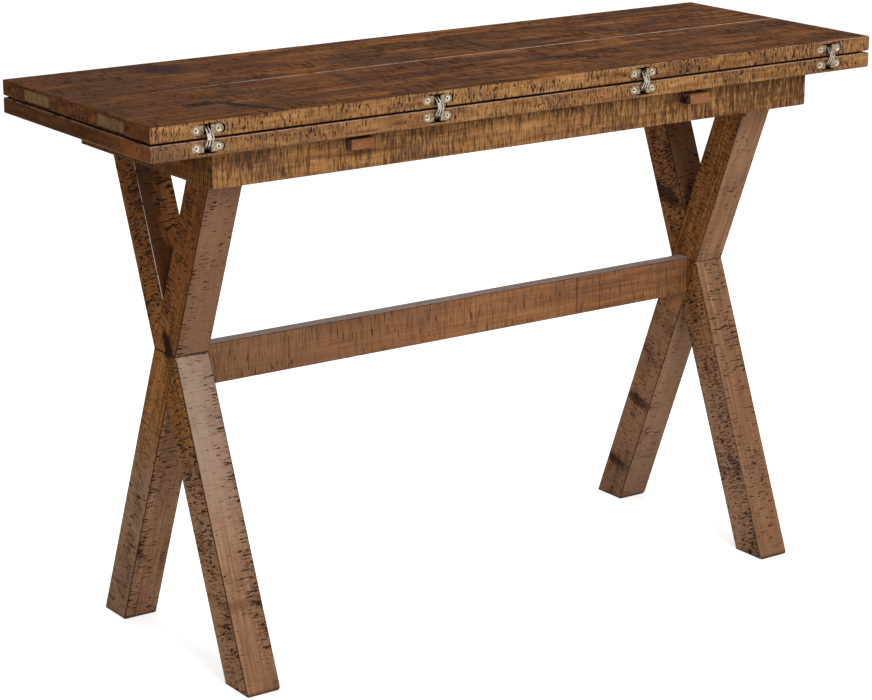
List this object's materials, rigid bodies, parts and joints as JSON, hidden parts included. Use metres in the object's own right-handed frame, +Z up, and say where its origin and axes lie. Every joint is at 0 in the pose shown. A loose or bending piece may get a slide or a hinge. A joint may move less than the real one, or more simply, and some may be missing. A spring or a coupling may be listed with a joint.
{
  "type": "flip-top extending table",
  "caption": "Wooden console table whose hinged upper leaf flips forward onto pull-out slides to double the top, on crossed X legs joined by a stretcher.",
  "frame": {"origin": "on the floor, midway along the table and midway between the rear edge of the leaves and the front of the hinge links", "axes": "+X along the table to the right of a person facing its hinged front edge, +Y from that front edge to the rear, +Z up"},
  "size_m": [1.2192, 0.4192, 0.7935],
  "materials": {
    "leaf_wood": "brown stained rough-sawn hardwood, satin lacquer",
    "apron_wood": "golden-brown stained rough-sawn hardwood",
    "frame_wood": "brown stained rough-sawn hardwood, worn edges",
    "loper_wood": "smooth stained hardwood",
    "plug_wood": "pale greenish-tan end-grain plug",
    "inner_wood": "unfinished hardwood",
    "hinge_nickel": "satin nickel plate, slightly tarnished",
    "screw_steel": "plain steel",
    "bumper_rubber": "matt brown rubber"
  },
  "bodies": {
    "base": {"lower_leaf_front_board": "leaf_wood", "lower_leaf_rear_board": "leaf_wood", "lower_leaf_dowels": "inner_wood", "leaf_bumpers": "bumper_rubber", "front_apron": "apron_wood", "rear_apron": "apron_wood", "left_end_apron": "apron_wood", "right_end_apron": "apron_wood", "centre_bearer": "inner_wood", "fixing_blocks": "inner_wood", "fixing_screws": "screw_steel", "left_rear_foot_leg": "frame_wood", "left_front_foot_leg": "frame_wood", "right_rear_foot_leg": "frame_wood", "right_front_foot_leg": "frame_wood", "leg_bolts": "screw_steel", "leg_bolt_washers": "screw_steel", "stretcher": "frame_wood", "stretcher_dowels": "inner_wood", "lower_hinge_bodies": "hinge_nickel", "lower_hinge_screws": "screw_steel", "lower_hinge_pins": "screw_steel", "left_loper_cleats": "inner_wood", "left_loper_cap": "inner_wood", "left_loper_keeper": "inner_wood", "right_loper_cleats": "inner_wood", "right_loper_cap": "inner_wood", "right_loper_keeper": "inner_wood", "keeper_screws": "screw_steel"},
    "flip_leaf": {"upper_leaf_front_board": "leaf_wood", "upper_leaf_rear_board": "leaf_wood", "upper_leaf_dowels": "inner_wood", "leaf_end_plugs": "plug_wood", "upper_hinge_bodies": "hinge_nickel", "upper_hinge_screws": "screw_steel", "upper_hinge_pins": "screw_steel"},
    "left_loper": {"left_loper": "loper_wood", "left_loper_pad": "bumper_rubber", "left_loper_stop_peg": "inner_wood"},
    "right_loper": {"right_loper": "loper_wood", "right_loper_pad": "bumper_rubber", "right_loper_stop_peg": "inner_wood"},
    "lower_links": {"lower_link_arms": "hinge_nickel"},
    "upper_links": {"upper_link_forks": "hinge_nickel"}
  },
  "joints": [
    {"name": "leaf_flip", "type": "hinge", "parent": "base", "child": "flip_leaf", "pos_m": [0, -0.20093, 0.7701], "axis": [1, 0, 0], "range_deg": [0, 180]},
    {"name": "left_loper_slide", "type": "slide", "parent": "base", "child": "left_loper", "axis": [0, -1, 0], "range_m": [0, 0.22]},
    {"name": "right_loper_slide", "type": "slide", "parent": "base", "child": "right_loper", "axis": [0, -1, 0], "range_m": [-0.008, 0.212]},
    {"name": "lower_links_turn", "type": "hinge", "parent": "base", "child": "lower_links", "pos_m": [0, -0.19393, 0.7621], "axis": [1, 0, 0], "range_deg": [0, 60.1]},
    {"name": "upper_links_turn", "type": "hinge", "parent": "flip_leaf", "child": "upper_links", "pos_m": [0, -0.19393, 0.7781], "axis": [1, 0, 0], "range_deg": [-60.1, 0]}
  ],
  "couplings": [
    {"joint": "lower_links_turn", "follows": "leaf_flip", "ratio": 0.33333},
    {"joint": "upper_links_turn", "follows": "leaf_flip", "ratio": -0.33333}
  ]
}
